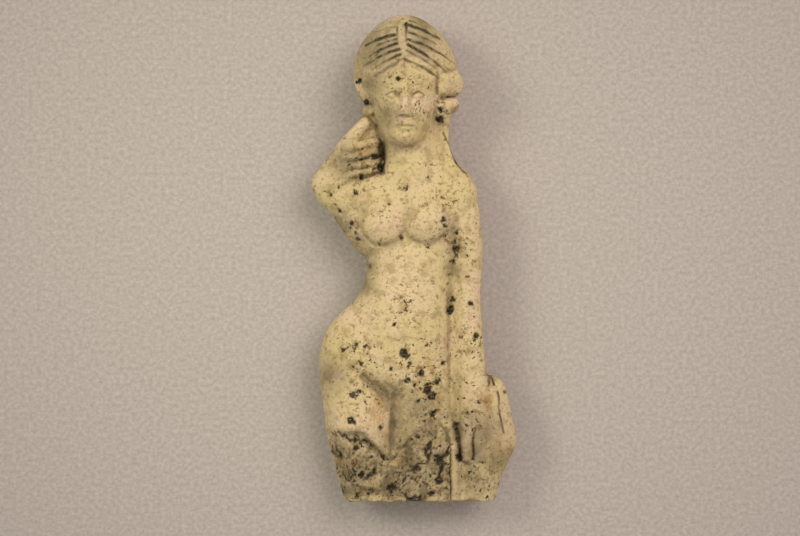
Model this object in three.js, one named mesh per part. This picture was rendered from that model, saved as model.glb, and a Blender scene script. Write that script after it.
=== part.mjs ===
// A pipeclay figurine of Venus, press-moulded in two halves, hollow, and broken off at the knees.
// It lies on its back as a loose find does: X runs to the figure's left, Y to the crown, Z out of the chest.
// Every size is in millimetres. The origin is under the middle of the figure, on the surface it lies on.
import * as THREE from "three";

// The two mould halves meet on this level plane, where the outline is widest.
const SEAM = 12;
const HIGHEST = 30;
const LOWEST = -3;
const REST = 0;

// How finely the skin is divided: steps round the front and the back of each ring.
const FRONT_STEPS = 38;
const BACK_STEPS = 14;

// Rings of the skin from the crown to the break: where each band ends and how many steps it takes.
// They stand closest over the face and the raised hand.
const BANDS = [
  [57, 9],
  [22, 40],
  [-32, 22],
  [-62.8, 15],
];
const CROWN_Y = 63.1;
const HOLLOW_RINGS = 9;

// Driving sizes of the head. The face follows the rule of thirds and is five eyes wide.
const FACE_X = -2.3;
const HAIRLINE = 50.9;
const CHIN = 29.0;
const FACE_WIDTH = 16.4;
const THIRD = (HAIRLINE - CHIN) / 3;
const BROW = HAIRLINE - THIRD;
const NOSE_BASE = CHIN + THIRD;
const MOUTH = NOSE_BASE - THIRD / 3;
const EYE = FACE_WIDTH / 5;
const EYE_Y = BROW - 1.9;
const PARTING_X = -3.0;
const STRAND_PITCH = 1.95;
const STRAND_SLOPE = 0.53;
const STRAND_EASE = 0.02;

// The trunk down to the knees: height along the figure, right edge, left edge, front and back.
const TRUNK = [
  [30, -6.5, 5.5, 16.5, 5.0],
  [25, -7.6, 6.6, 17.0, 4.4],
  [20.5, -10.6, 11.0, 17.4, 3.2],
  [15.3, -12.2, 11.4, 17.6, 2.6],
  [8, -12.6, 10.6, 17.2, 2.8],
  [1, -12.7, 9.9, 17.3, 3.8],
  [-5, -12.1, 9.6, 17.8, 4.4],
  [-10.6, -15.0, 9.7, 18.6, 3.2],
  [-14, -19.0, 9.8, 19.1, 1.9],
  [-18, -22.4, 10.1, 19.6, 0.6],
  [-22.3, -24.1, 10.4, 19.9, -0.4],
  [-28, -24.9, 10.8, 19.9, -0.7],
  [-34, -24.4, 11.0, 18.7, 0.2],
  [-41, -23.2, 11.2, 16.8, 2.2],
  [-48, -22.0, 11.4, 16.2, 3.0],
  [-58, -19.2, 11.6, 16.4, 3.3],
  [-64, -16.6, 11.6, 16.6, 3.4],
];

// The hollow, in the same terms.
const HOLLOW = [
  [17, -6.5, 5.5, 13.4, 8.0],
  [8, -7.6, 5.4, 13.8, 7.4],
  [-5, -7.6, 5.0, 13.6, 8.4],
  [-16, -13.5, 5.6, 14.4, 6.8],
  [-28, -17.4, 6.4, 15.0, 5.4],
  [-42, -17.2, 6.8, 12.8, 6.0],
  [-62.8, -14.6, 7.0, 12.6, 6.6],
];

// Value of column k of a table at height y, on a smooth curve through its rows.
function along(rows, k, y) {
  const last = rows.length - 1;
  let i = 0;
  while (i < last - 1 && y < rows[i + 1][0]) i += 1;
  const slope = (j) => {
    const a = rows[Math.max(j - 1, 0)];
    const b = rows[Math.min(j + 1, last)];
    return (b[k] - a[k]) / (b[0] - a[0]);
  };
  const span = rows[i + 1][0] - rows[i][0];
  const t = THREE.MathUtils.clamp((y - rows[i][0]) / span, 0, 1);
  const rise = t * t * (3 - 2 * t);
  return (
    rows[i][k] * (1 - rise) +
    rows[i + 1][k] * rise +
    span * (slope(i) * t * (1 - t) ** 2 - slope(i + 1) * t * t * (1 - t))
  );
}

// Masses of clay. Each returns the distance from a point to its surface, negative inside.

function blob(cx, cy, cz, rx, ry, rz) {
  return (x, y, z) => {
    const px = (x - cx) / rx;
    const py = (y - cy) / ry;
    const pz = (z - cz) / rz;
    const near = Math.hypot(px, py, pz);
    return (near * (near - 1)) / (Math.hypot(px / rx, py / ry, pz / rz) + 1e-6);
  };
}

// A limb runs through stations of x, y, z and radius. A depth under 1 flattens it towards the seam plane.
function limb(stations, depth = 1) {
  return (x, y, z) => {
    let nearest = Infinity;
    for (let i = 0; i + 1 < stations.length; i += 1) {
      const [ax, ay, az, ar] = stations[i];
      const [bx, by, bz, br] = stations[i + 1];
      const ux = bx - ax;
      const uy = by - ay;
      const uz = (bz - az) / depth;
      const px = x - ax;
      const py = y - ay;
      const pz = (z - az) / depth;
      const t = THREE.MathUtils.clamp((px * ux + py * uy + pz * uz) / (ux * ux + uy * uy + uz * uz), 0, 1);
      const away = Math.hypot(px - t * ux, py - t * uy, pz - t * uz);
      nearest = Math.min(nearest, away - (ar + (br - ar) * t));
    }
    return nearest;
  };
}

// The trunk's sections are ellipses squared off a little, as a power of 2.4 makes them.
function trunk(x, y, z) {
  const [right, left, front, back] = [1, 2, 3, 4].map((k) => along(TRUNK, k, y));
  const rx = (left - right) / 2;
  const rz = (front - back) / 2;
  const px = Math.abs(x - (left + right) / 2) / rx;
  const pz = Math.abs(z - (front + back) / 2) / rz;
  const near = (px ** 2.4 + pz ** 2.4) ** (1 / 2.4);
  return Math.max((near - 1) * Math.min(rx, rz), y - TRUNK[0][0]);
}

function fuse(a, b, blend) {
  const h = Math.max(blend - Math.abs(a - b), 0) / blend;
  return Math.min(a, b) - (h * h * blend) / 4;
}

// One feature on each side of the face.
function bothSides(offset, feature) {
  return [feature(FACE_X - offset), feature(FACE_X + offset)];
}

// Each mass is followed by the width in millimetres over which it blends into what is already there.
const BODY = [
  [trunk, 1],
  // shoulders and neck
  [limb([[3, 27.5, 11, 4.0], [10.6, 18.6, 11.6, 5.0], [11.4, 16.8, 11.8, 5.0]], 0.95), 2.5],
  [limb([[-4, 26.5, 11, 4.2], [-10.5, 17.5, 11.6, 5.0]], 0.95), 2.5],
  [limb([[-0.9, 34, 11.5, 6.7], [-0.6, 24, 11.2, 6.9]], 0.9), 2.5],
  // breasts
  [limb([[-6.8, 18.0, 11.8, 4.8], [-8.0, 9.0, 13.6, 6.3]]), 0.9],
  [limb([[2.6, 18.5, 11.8, 4.8], [3.0, 9.6, 13.6, 6.3]]), 0.9],
  // belly, thighs and buttocks
  [blob(-2.6, -18, 12.0, 10.5, 17, 8.4), 4],
  [limb([[-16.2, -33, 10.8, 7.4], [-14.2, -44, 11.8, 8.3], [-9.0, -68, 11.3, 7.4]]), 1.2],
  [limb([[2.6, -33, 10.4, 8.2], [3.0, -50, 10.8, 8.0], [2.6, -68, 10.9, 7.6]]), 2.5],
  [blob(-14.2, -27, 7.6, 8.6, 9.4, 8.2), 2],
  [blob(-0.2, -27, 7.6, 8.4, 9.4, 8.2), 2],
];
const HANGING_ARM = [
  [11.6, 16.6, 12.0, 4.9],
  [13.9, 4, 12.6, 4.1],
  [13.5, -12, 13.0, 3.9],
  [15.2, -30, 13.4, 3.9],
  [16.2, -39, 13.2, 4.3],
];
const ARMS = [
  [limb(HANGING_ARM), 0.9],
  // right arm, raised to the hair
  [limb([[-11.0, 15.4, 11.8, 5.3], [-21.2, 18.2, 12.0, 4.6]], 0.95), 1.6],
  [limb([[-20.2, 17.0, 11.6, 4.1], [-12.4, 6.0, 11.6, 4.5]]), 2.4],
  [limb([[-22.6, 19.4, 12.2, 4.2], [-16.4, 27.8, 12.4, 3.8]]), 0.7],
];
const CLAY_LEFT_BETWEEN = [
  [limb([[10.4, 12, 11.4, 3.0], [10.6, -34, 11.6, 3.2], [9.8, -60, 11, 3]]), 1.6],
  [limb([[-12, 20, 10.4, 5], [-12.5, 31, 10.4, 4]]), 1.2],
  [limb([[-16, 22, 10.4, 4], [-8, 33, 10.4, 4]]), 1.2],
];
const HEAD = [
  // skull, crown, forehead and jaw
  [blob(-2.3, 48.3, 12.2, 13.5, 13.0, 12.7), 2],
  [blob(-2.6, 51.0, 12.2, 9.8, 12.1, 9.6), 3],
  [blob(FACE_X, 43.4, 14.0, 8.8, 9.8, 11.3), 2],
  [blob(FACE_X, 39.0, 13.6, 8.0, 10.8, 11.7), 1.5],
  // knot of hair at the nape
  [blob(-2.2, 37.2, 5.2, 5.0, 4.0, 4.8), 1.0],
  // chin, nose and nostrils
  [blob(FACE_X, 31.3, 21.0, 2.8, 2.0, 3.2), 2.4],
  [limb([[FACE_X, BROW + 0.3, 24.3, 0.7], [FACE_X, NOSE_BASE + 1.3, 25.8, 0.95]]), 1.3],
  [blob(FACE_X, NOSE_BASE + 0.9, 25.5, 1.25, 1.1, 1.4), 0.8],
  ...bothSides(EYE * 0.36, (x) => [blob(x, NOSE_BASE + 0.7, 24.8, 0.7, 0.7, 0.7), 0.6]),
];
const HAIR = [
  // right ear, the knob of hair under it and the lock behind the hand
  [limb([[-14.6, 46.2, 15.0, 1.2], [-14.2, 43.4, 16.8, 1.9], [-12.6, 41.2, 17.4, 1.7]]), 0.4],
  [limb([[-13.2, 38.6, 15.0, 1.5], [-11.0, 38.6, 16.2, 1.5]]), 0.3],
  [limb([[-11.0, 38, 12, 2.2], [-9.8, 31, 12.2, 2.4]]), 1.2],
  // puff of hair over the left ear
  [blob(9.6, 44.8, 12.0, 3.2, 3.0, 5.0), 0.8],
  [limb([[7.8, 45.7, 20.6, 1.8], [11.0, 46.4, 18.2, 2.0]]), 0.4],
  [limb([[7.8, 43.6, 20.0, 1.8], [10.9, 43.8, 17.6, 1.9]]), 1.6],
  // roll of hair below it, and the locks down to the shoulder
  [blob(8.4, 39.7, 12.0, 3.2, 2.4, 4.5), 0.8],
  [limb([[7.0, 39.7, 18.0, 1.6], [10.1, 39.9, 16.2, 1.8]]), 0.4],
  [limb([[7.4, 38.2, 16.6, 2.1], [8.6, 35.6, 14.0, 1.8], [7.6, 30.6, 12.8, 1.5]]), 0.8],
  [limb([[7.0, 37.5, 12.4, 2.3], [6.2, 31, 12.2, 2.2], [8.0, 25.5, 12.0, 2.4]]), 1.0],
  [limb([[7.2, 32.0, 14.0, 1.1], [8.6, 28.6, 14.0, 1.1], [10.2, 24.7, 13.8, 1.0]]), 0.6],
];
const RAISED_HAND = [
  // palm and four fingers
  [blob(-15.8, 26.6, 12.4, 3.6, 5.4, 3.4), 1.2],
  [limb([[-17.4, 28.5, 15.4, 1.35], [-10.0, 29.9, 16.6, 1.2]]), 0.35],
  [limb([[-18.2, 25.9, 15.4, 1.4], [-10.0, 27.5, 16.9, 1.25]]), 0.35],
  [limb([[-18.0, 23.5, 15.2, 1.35], [-9.0, 25.0, 16.8, 1.25]]), 0.35],
  [limb([[-17.4, 21.4, 14.8, 1.2], [-11.8, 22.8, 16.0, 1.1]]), 0.35],
  // the lock that it holds
  [limb([[-17.0, 29.3, 11.8, 2.3], [-12.6, 34.4, 11.8, 2.3]]), 0.8],
  [limb([[-19.0, 28.4, 13.4, 1.8], [-15.6, 31.8, 14.8, 1.8], [-12.6, 35.0, 15.6, 1.5]]), 0.6],
];
const DRAPE = [
  [19.0, -35.6, 11.2, 5.4],
  [20.6, -47, 11.2, 6.3],
  [17.6, -54, 11.0, 6.0],
  [14.4, -66, 11.0, 5.8],
];
const HEM = [
  [8.2, -40, 15.4, 1.2],
  [9.6, -46, 15.6, 1.1],
  [10.4, -54, 14.8, 1.1],
  [10.6, -66, 14.4, 1.2],
];
const DRAPERY = [
  [limb(DRAPE, 0.72), 0.8],
  [limb([[12.0, -48, 10.6, 4.0], [11.6, -66, 10.6, 4.2]]), 1.0],
  // the hanging hand, its first finger and its back
  [limb([[16.4, -39, 12.8, 4.4], [17.2, -45, 12.6, 5.0], [17.0, -49.5, 12.0, 4.6]], 0.85), 1.2],
  [limb([[13.4, -42, 14.6, 1.6], [13.6, -51.6, 14.4, 1.4]]), 0.5],
  [limb([[17.4, -40, 14.6, 2.6], [17.8, -50.0, 13.6, 2.4]]), 0.7],
  [limb(HEM), 0.9],
];
const MASSES = [BODY, ARMS, CLAY_LEFT_BETWEEN, HEAD, HAIR, RAISED_HAND, DRAPERY].flat();

// Eye sockets are pressed in, and then the lids and lips stand out.
const SOCKETS = bothSides(EYE, (x) => blob(x, EYE_Y, 26.6, 2.2, 1.3, 2.6));
const UPPER_LIP = [
  [FACE_X - 1.8, MOUTH + 0.3, 23.6, 0.4],
  [FACE_X, MOUTH + 0.42, 24.5, 0.45],
  [FACE_X + 1.8, MOUTH + 0.3, 23.6, 0.4],
];
const LIDS_AND_LIPS = [
  ...bothSides(EYE, (x) => [blob(x, EYE_Y - 0.1, 22.6, 1.5, 0.75, 1.35), 0.4]),
  [limb(UPPER_LIP), 0.6],
  [blob(FACE_X, MOUTH - 0.75, 24.0, 1.35, 0.5, 0.75), 0.6],
];

function clay(x, y, z) {
  let d = MASSES.reduce((sum, [mass, blend]) => fuse(sum, mass(x, y, z), blend), HIGHEST);
  for (const socket of SOCKETS) d = -fuse(-d, socket(x, y, z), 1.0);
  return LIDS_AND_LIPS.reduce((sum, [mass, blend]) => fuse(sum, mass(x, y, z), blend), d);
}

// Grooves pressed into the front: two ends, width and depth.
const FRONT_GROOVES = [
  // beside and between the fingers of the hanging hand, and under their tips
  [10.7, -42.9, 11.6, -47.0, 0.8, 1.2],
  [11.6, -47.0, 12.1, -52.2, 0.6, 1.5],
  [15.9, -43.9, 15.3, -52.2, 0.45, 1.0],
  [12.1, -52.4, 14.4, -53.6, 0.5, 0.8],
  [14.4, -53.6, 18.2, -53.0, 0.6, 0.4],
  // beside the hem
  [9.2, -48.0, 9.6, -63.5, 0.4, 1.2],
  // the valley between the body and the hanging arm, and its end over the hand
  [10.9, 10.0, 9.5, -14.0, 1.2, 0.5],
  [9.5, -14.0, 9.8, -41.0, 1.2, 0.6],
  [9.4, -40.8, 12.4, -42.2, 1.5, 0.8],
  // bend of the raised arm
  [-22.6, 18.0, -18.6, 18.9, 0.5, 0.35],
  [-18.6, 18.9, -14.8, 20.9, 0.5, 0.6],
  // lips
  [FACE_X - 2.1, MOUTH - 0.2, FACE_X + 2.1, MOUTH - 0.2, 0.28, 0.4],
  // fold of the groin
  [-15.8, -28.8, -13.0, -30.8, 0.9, 0.7],
  [-13.0, -30.8, -10.4, -32.9, 1.0, 1.3],
  [-10.4, -32.9, -6.2, -33.6, 1.1, 1.9],
  // beside the cheek and the neck, round the raised hand, and beside the puff of hair
  [-9.6, 34.5, -8.6, 29.5, 0.6, 1.4],
  [-8.6, 29.5, -8.4, 22.5, 1.0, 2.0],
  [-8.4, 22.5, -13.4, 20.6, 0.5, 0.9],
  [5.9, 47.4, 5.8, 42.4, 0.5, 0.9],
];

// Grooves in the back: spine, cleft of the buttocks, the fold under them,
// the legs and the edge of the drapery.
const BACK_GROOVES = [
  [-0.8, 20, -2.6, -14, 1.5, 0.9],
  [-7.2, -17, -7.0, -33, 1.1, 2.2],
  [-21.5, -37.0, 5.5, -36.0, 1.6, 0.8],
  [-6.4, -36, -5.2, -64, 1.3, 1.6],
  [10.6, -30, 10.8, -64, 0.9, 1.3],
  [10.2, 12, 10.2, -30, 1.0, 1.2],
];

// Edge of the area over the knees where the surface has flaked off, from right to left.
const FLAKED_EDGE = [
  [-24, -45],
  [-20.5, -45],
  [-12.5, -45.6],
  [-9.2, -49],
  [-6.4, -51.4],
  [-3.5, -48.6],
  [0.5, -45],
  [3.9, -42],
  [7.0, -41.8],
  [9.0, -47],
  [9.4, -64],
];
const FLAKE_DEPTH = 1.2;

// Soft step from 0 to 1 as v goes from a to b, either way round.
function step(a, b, v) {
  const t = THREE.MathUtils.clamp((v - a) / (b - a), 0, 1);
  return t * t * (3 - 2 * t);
}

// Deepest of a set of grooves at a place, so that grooves that meet don't add up.
function grooved(grooves, x, y) {
  let deepest = 0;
  for (const [ax, ay, bx, by, width, depth] of grooves) {
    const ux = bx - ax;
    const uy = by - ay;
    const t = THREE.MathUtils.clamp(((x - ax) * ux + (y - ay) * uy) / (ux * ux + uy * uy), 0, 1);
    const away = Math.hypot(x - ax - t * ux, y - ay - t * uy);
    deepest = Math.max(deepest, depth * Math.exp(-((away / width) ** 2)));
  }
  return deepest;
}

// Strands of hair fall away from the parting on both sides, below the crown and above the hairline.
// The lowest falls by STRAND_SLOPE, and each higher one a little less.
function strands(x, y, hairline) {
  const right = x < PARTING_X;
  const out = Math.abs(x - PARTING_X);
  const reach = right ? 8.2 : 10.0;
  const root = (y + out * (STRAND_SLOPE + STRAND_EASE * HAIRLINE)) / (1 + STRAND_EASE * out);
  const place = (root - HAIRLINE - 0.7) / STRAND_PITCH;
  const groove = Math.exp(-((((place - Math.round(place)) * STRAND_PITCH) / 0.42) ** 2));
  const within = step(reach + 3, reach, out) * step(0.7, 1.1, out);
  return 0.55 * groove * within * step(60.8, 59.3, y + out * 0.25) * step(0.3, 1.0, y - hairline);
}

// Drop from the round right thigh to the leg behind it, which rises again further on.
function legGap(x, y) {
  const edge = -6.4;
  const across = step(-0.3, 1.3, x - edge) * step(8.0, 1.0, x - edge);
  return 2.3 * across * step(-31.5, -40, y) * step(-54, -47, y);
}

// What the mould adds to or takes from the front: the hair with its strands, the grooves, the flaked area.
function frontRelief(x, y) {
  const out = Math.abs(x - PARTING_X);
  const hairline = HAIRLINE - (x < PARTING_X ? 0.66 : 0.5) * out;
  const hair = 0.9 * step(-1, 1, (y - hairline) / (0.35 + 0.09 * out)) * step(36, 42, y);
  const edge = FLAKED_EDGE.findLastIndex(([ex]) => ex <= x);
  let flaked = 0;
  if (edge >= 0 && edge + 1 < FLAKED_EDGE.length) {
    const [[ax, ay], [bx, by]] = [FLAKED_EDGE[edge], FLAKED_EDGE[edge + 1]];
    const edgeY = ay + ((by - ay) * (x - ax)) / (bx - ax);
    flaked = FLAKE_DEPTH * step(0.5, -0.5, y - edgeY);
  }
  return hair - strands(x, y, hairline) - Math.max(grooved(FRONT_GROOVES, x, y), legGap(x, y)) - flaked;
}

// Level at which a line through x, y first meets the clay, coming down on the front or up under the back.
function level(x, y, from) {
  const stride = Math.sign(SEAM - from) * 0.8;
  let z = from;
  while (clay(x, y, z) > 0) {
    z += stride;
    if ((SEAM - z) * stride <= 0) return SEAM;
  }
  let outside = z - stride;
  for (let i = 0; i < 9; i += 1) {
    const middle = (outside + z) / 2;
    if (clay(x, y, middle) > 0) outside = middle;
    else z = middle;
  }
  return z;
}

function frontLevel(x, y) {
  return Math.max(level(x, y, HIGHEST) + frontRelief(x, y), SEAM);
}

function backLevel(x, y) {
  return Math.min(Math.max(level(x, y, LOWEST) + grooved(BACK_GROOVES, x, y), REST), SEAM);
}

// The break runs unevenly across the knees, by a little more or less than its ring.
function breakWave(x) {
  return 0.2 * Math.sin(0.5 * x + 1) + 0.14 * Math.sin(1.3 * x);
}

// Points of one ring, from the left edge over the front to the right edge and back underneath.
function ring(height) {
  const wave = step(-55, -62.8, height);
  const at = (x) => height + wave * breakWave(x);
  const edge = (start, stride) => {
    let x = start;
    while (clay(x, at(x), SEAM) > 0 && Math.abs(x - start) < 60) x += stride;
    let outside = x - stride;
    for (let i = 0; i < 12; i += 1) {
      const middle = (outside + x) / 2;
      if (clay(middle, at(middle), SEAM) > 0) outside = middle;
      else x = middle;
    }
    return x;
  };
  const [right, left] = [edge(-30, 0.4), edge(30, -0.4)];
  return [
    ...arch(left, right, at, frontLevel, FRONT_STEPS),
    ...arch(right, left, at, backLevel, BACK_STEPS),
  ];
}

// Points from one edge to the other, closer together towards the edges, where the skin is steep.
function arch(from, to, at, levelAt, steps) {
  const points = [];
  for (let k = 0; k < steps; k += 1) {
    const t = k / steps;
    const eased = (t + (1 - Math.cos(Math.PI * t)) / 2) / 2;
    const x = from + (to - from) * eased;
    points.push(new THREE.Vector3(x, at(x), k === 0 ? SEAM : levelAt(x, at(x))));
  }
  return points;
}

// A ring of the hollow, with as many points as a ring of the skin.
function hollowRing(height) {
  const [right, left, front, back] = [1, 2, 3, 4].map((k) => along(HOLLOW, k, height));
  const steps = FRONT_STEPS + BACK_STEPS;
  const points = [];
  for (let k = 0; k < steps; k += 1) {
    const turn = k < FRONT_STEPS ? k / FRONT_STEPS : 1 + (k - FRONT_STEPS) / BACK_STEPS;
    const x = (left + right) / 2 + ((left - right) / 2) * Math.cos(Math.PI * turn);
    const z = (front + back) / 2 + ((front - back) / 2) * Math.sin(Math.PI * turn);
    points.push(new THREE.Vector3(x, height + (height < -62 ? breakWave(x) : 0), z));
  }
  return points;
}

// The skin from the crown to the break, then the broken edge, then the hollow up to its end.
function figurine() {
  const rings = [];
  let top = CROWN_Y;
  for (const [bottom, steps] of BANDS) {
    for (let k = 1; k <= steps; k += 1) {
      const t = k / steps;
      const eased = top === CROWN_Y ? 1 - Math.cos((Math.PI / 2) * t) : t;
      rings.push(ring(top + (bottom - top) * eased));
    }
    top = bottom;
  }
  const [mouth, end] = [HOLLOW.at(-1)[0], HOLLOW[0][0]];
  for (let k = 0; k < HOLLOW_RINGS; k += 1) {
    const t = Math.sin(((Math.PI / 2) * k) / HOLLOW_RINGS);
    rings.push(hollowRing(mouth + (end - mouth) * t));
  }
  const count = FRONT_STEPS + BACK_STEPS;
  const crown = new THREE.Vector3(-2.2, CROWN_Y, SEAM);
  const innermost = new THREE.Vector3(-1, end, 10.7);
  const points = [crown, ...rings.flat(), innermost];
  const faces = [];
  for (let k = 0; k < count; k += 1) {
    const next = (k + 1) % count;
    faces.push(0, 1 + next, 1 + k);
    for (let r = 0; r + 1 < rings.length; r += 1) {
      const [a, b] = [1 + r * count + k, 1 + r * count + next];
      faces.push(a, b, b + count, a, b + count, a + count);
    }
    const last = 1 + (rings.length - 1) * count;
    faces.push(last + k, last + next, points.length - 1);
  }
  const geometry = new THREE.BufferGeometry().setFromPoints(points);
  geometry.setIndex(faces);
  geometry.computeVertexNormals();
  // The origin goes under the middle of the figure.
  geometry.computeBoundingBox();
  const box = geometry.boundingBox;
  geometry.translate(-(box.min.x + box.max.x) / 2, -(box.min.y + box.max.y) / 2, -box.min.z);
  return geometry;
}

const pipeclay = new THREE.MeshStandardMaterial({ color: 0xd8cdb4, roughness: 0.85, metalness: 0 });
const mesh = new THREE.Mesh(figurine(), pipeclay);
mesh.name = "figurine";

const part = new THREE.Group();
part.add(mesh);
export default part;
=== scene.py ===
# A broken pipeclay figurine of Venus, lying on its back on pale paper.
# Sizes of the form are in millimetres and are turned to metres when the mesh is made.
import math

import bpy
import numpy as np
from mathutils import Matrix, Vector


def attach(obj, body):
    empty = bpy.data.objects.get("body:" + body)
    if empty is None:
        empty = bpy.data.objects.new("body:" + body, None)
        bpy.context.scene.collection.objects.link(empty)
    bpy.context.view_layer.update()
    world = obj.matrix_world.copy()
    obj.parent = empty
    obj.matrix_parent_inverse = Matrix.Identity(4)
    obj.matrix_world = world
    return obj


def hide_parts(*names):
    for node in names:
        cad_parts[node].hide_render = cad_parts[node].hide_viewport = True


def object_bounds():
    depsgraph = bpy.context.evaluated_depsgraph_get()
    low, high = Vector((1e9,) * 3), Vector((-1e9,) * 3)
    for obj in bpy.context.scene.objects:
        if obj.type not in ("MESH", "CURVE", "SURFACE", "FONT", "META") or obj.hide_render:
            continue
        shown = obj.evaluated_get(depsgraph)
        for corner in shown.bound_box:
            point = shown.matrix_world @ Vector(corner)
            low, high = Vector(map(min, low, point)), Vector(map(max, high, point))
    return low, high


bl_info = {
    "name": "Pipeclay figurine",
    "version": (1, 0, 0),
    "blender": (4, 5, 0),
    "location": "View3D > Sidebar > Figurine",
    "description": "A moulded, fired and weathered pipeclay figurine of Venus, with its stage",
    "category": "Object",
}

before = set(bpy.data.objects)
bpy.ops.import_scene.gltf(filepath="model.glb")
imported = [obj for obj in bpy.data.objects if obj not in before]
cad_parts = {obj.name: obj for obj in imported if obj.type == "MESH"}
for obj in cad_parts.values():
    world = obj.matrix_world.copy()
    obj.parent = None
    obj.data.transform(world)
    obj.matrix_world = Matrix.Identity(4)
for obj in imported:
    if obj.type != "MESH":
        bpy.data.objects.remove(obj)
CAD_BOX = [list(corner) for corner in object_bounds()]
MM = 0.001
SENSOR_WIDTH = 36.0
LAMPS = ("key", "fill")

# The two mould halves meet on this level plane, where the outline is widest. The clay is looked for
# from the highest level down to it, and from the lowest level up to it, in strides of which the last
# is halved again and again.
SEAM = 12.0
HIGHEST = 30.0
LOWEST = -3.0
LEVEL_STRIDE = 0.8
LEVEL_HALVINGS = 9

# The edges of the figure are looked for from this far out on both sides.
OUTSIDE = 30
EDGE_STRIDE = 0.4
EDGE_TRIES = 150
EDGE_HALVINGS = 12

# The crown is rounded off over its last millimetres by one ring in fourteen.
CROWN = (-2.3, 63.1)
CROWN_CAP = 4.5
CROWN_SHARE = 14

# The break runs unevenly across the knees, in waves of a height, turn and start each. Rings above the
# clear height are level.
BREAK_Y = -62.8
CLEAR_OF_BREAK = -55
BREAK_WAVES = ((0.2, 0.5, 1), (0.14, 1.3, 0), (0.06, 4.1, 2))
BREAK_ROUGHNESS = 0.3

# Sizes of the head. The face follows the rule of thirds and is five eyes wide.
FACE_X = -2.3
HAIRLINE = 50.9
CHIN = 29.0
FACE_WIDTH = 16.4
THIRD = (HAIRLINE - CHIN) / 3
BROW = HAIRLINE - THIRD
NOSE_BASE = CHIN + THIRD
MOUTH = NOSE_BASE - THIRD / 3
EYE = FACE_WIDTH / 5
EYE_Y = BROW - 1.9
PARTING_X = -3.0
HAIR_THICKNESS = 0.9
HAIRLINE_SLOPES = (0.66, 0.5)

# The trunk down to the knees: height along the figure, right edge, left edge, front and back.
# Its sections are ellipses squared off a little by a power.
SQUARED_OFF = 2.4
TRUNK = (
    (30, -6.5, 5.5, 16.5, 5.0),
    (25, -7.6, 6.6, 17.0, 4.4),
    (20.5, -10.6, 11.0, 17.4, 3.2),
    (15.3, -12.2, 11.4, 17.6, 2.6),
    (8, -12.6, 10.6, 17.2, 2.8),
    (1, -12.7, 9.9, 17.3, 3.8),
    (-5, -12.1, 9.6, 17.8, 4.4),
    (-10.6, -15.0, 9.7, 18.6, 3.2),
    (-14, -19.0, 9.8, 19.1, 1.9),
    (-18, -22.4, 10.1, 19.6, 0.6),
    (-22.3, -24.1, 10.4, 19.9, -0.4),
    (-28, -24.9, 10.8, 19.9, -0.7),
    (-34, -24.4, 11.0, 18.7, 0.2),
    (-41, -23.2, 11.2, 16.8, 2.2),
    (-48, -22.0, 11.4, 16.2, 3.0),
    (-58, -19.2, 11.6, 16.4, 3.3),
    (-64, -16.6, 11.6, 16.6, 3.4),
)

# The hollow, in the same terms.
HOLLOW = (
    (17, -6.5, 5.5, 13.4, 8.0),
    (8, -7.6, 5.4, 13.8, 7.4),
    (-5, -7.6, 5.0, 13.6, 8.4),
    (-16, -13.5, 5.6, 14.4, 6.8),
    (-28, -17.4, 6.4, 15.0, 5.4),
    (-42, -17.2, 6.8, 12.8, 6.0),
    (BREAK_Y, -14.6, 7.0, 12.6, 6.6),
)
# The level that parts its front from its back, and the point where it ends.
HOLLOW_MIDDLE = 10.5
HOLLOW_END = (-1.0, HOLLOW[0][0], 10.7)


def along(rows, k, y):
    """Column k of a table at heights y, on a smooth curve through its rows."""
    heights = np.array([row[0] for row in rows], float)[::-1]
    values = np.array([row[k] for row in rows], float)[::-1]
    slopes = np.empty_like(values)
    slopes[1:-1] = (values[2:] - values[:-2]) / (heights[2:] - heights[:-2])
    slopes[0] = (values[1] - values[0]) / (heights[1] - heights[0])
    slopes[-1] = (values[-1] - values[-2]) / (heights[-1] - heights[-2])
    i = np.clip(np.searchsorted(heights, y) - 1, 0, len(heights) - 2)
    span = heights[i + 1] - heights[i]
    t = np.clip((y - heights[i]) / span, 0, 1)
    rise = t * t * (3 - 2 * t)
    bow = slopes[i] * t * (1 - t) ** 2 - slopes[i + 1] * t * t * (1 - t)
    return values[i] * (1 - rise) + values[i + 1] * rise + span * bow


def blob(cx, cy, cz, rx, ry, rz):
    """An ellipsoid of clay, as the distance of points from its surface, negative inside."""

    def distance(x, y, z):
        px, py, pz = (x - cx) / rx, (y - cy) / ry, (z - cz) / rz
        near = np.sqrt(px * px + py * py + pz * pz)
        return near * (near - 1) / (np.sqrt((px / rx) ** 2 + (py / ry) ** 2 + (pz / rz) ** 2) + 1e-6)

    return distance


def limb(*stations, depth=1.0):
    """A round limb through stations of x, y, z and radius. A depth under 1 flattens it."""

    def distance(x, y, z):
        nearest = np.full_like(x, 1e3)
        for (ax, ay, az, ar), (bx, by, bz, br) in zip(stations[:-1], stations[1:]):
            ux, uy, uz = bx - ax, by - ay, (bz - az) / depth
            px, py, pz = x - ax, y - ay, (z - az) / depth
            t = np.clip((px * ux + py * uy + pz * uz) / (ux * ux + uy * uy + uz * uz), 0, 1)
            away = np.sqrt((px - t * ux) ** 2 + (py - t * uy) ** 2 + (pz - t * uz) ** 2)
            nearest = np.minimum(nearest, away - (ar + (br - ar) * t))
        return nearest

    return distance


def trunk(x, y, z):
    """The trunk down to the knees."""
    right, left, front, back = [along(TRUNK, k, y) for k in (1, 2, 3, 4)]
    rx, rz = (left - right) / 2, (front - back) / 2
    px, pz = np.abs(x - (left + right) / 2) / rx, np.abs(z - (front + back) / 2) / rz
    near = (px**SQUARED_OFF + pz**SQUARED_OFF) ** (1 / SQUARED_OFF)
    return np.maximum((near - 1) * np.minimum(rx, rz), y - TRUNK[0][0])


def both_sides(offset, feature):
    """One feature on each side of the face."""
    return [feature(FACE_X - offset), feature(FACE_X + offset)]


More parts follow.
